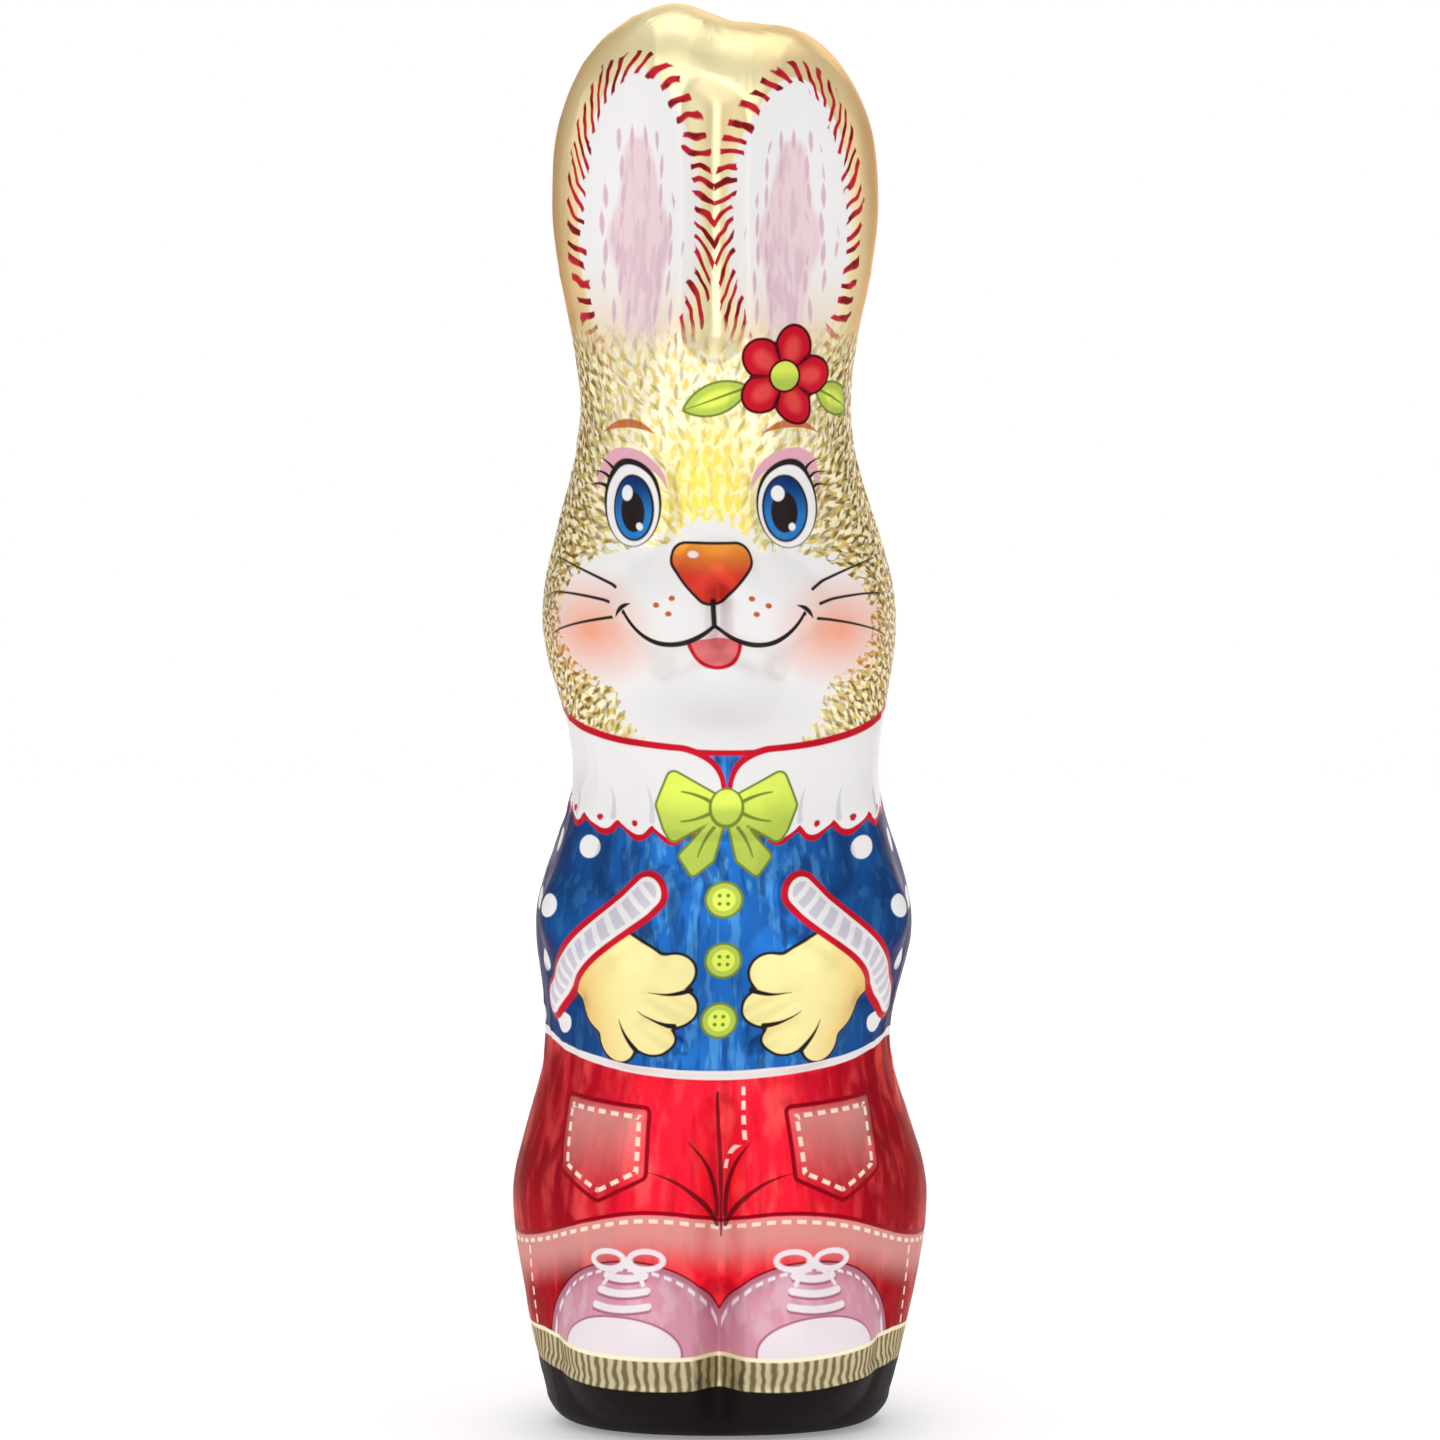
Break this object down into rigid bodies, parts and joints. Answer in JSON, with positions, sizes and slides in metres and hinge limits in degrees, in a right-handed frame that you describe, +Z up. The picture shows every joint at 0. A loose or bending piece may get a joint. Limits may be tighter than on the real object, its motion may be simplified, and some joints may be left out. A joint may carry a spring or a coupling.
{
  "type": "foil-wrapped chocolate bunny",
  "caption": "Hollow milk chocolate bunny standing upright on a flat sole, wrapped in printed foil with tall ears, a dotted blue jumper, red trousers and pink shoes.",
  "frame": {"origin": "on the flat sole, under the middle of the figure's box", "axes": "+Z up towards the ears, -Y the way the face looks, +X towards the figure's left ear"},
  "size_m": [0.0436, 0.0344, 0.1496],
  "materials": {
    "printed_foil": "satin printed foil, gold where bare, with white, blue, red, pink and black inks"
  },
  "bodies": {
    "root": {"wrapped_bunny": "printed_foil"}
  },
  "joints": []
}
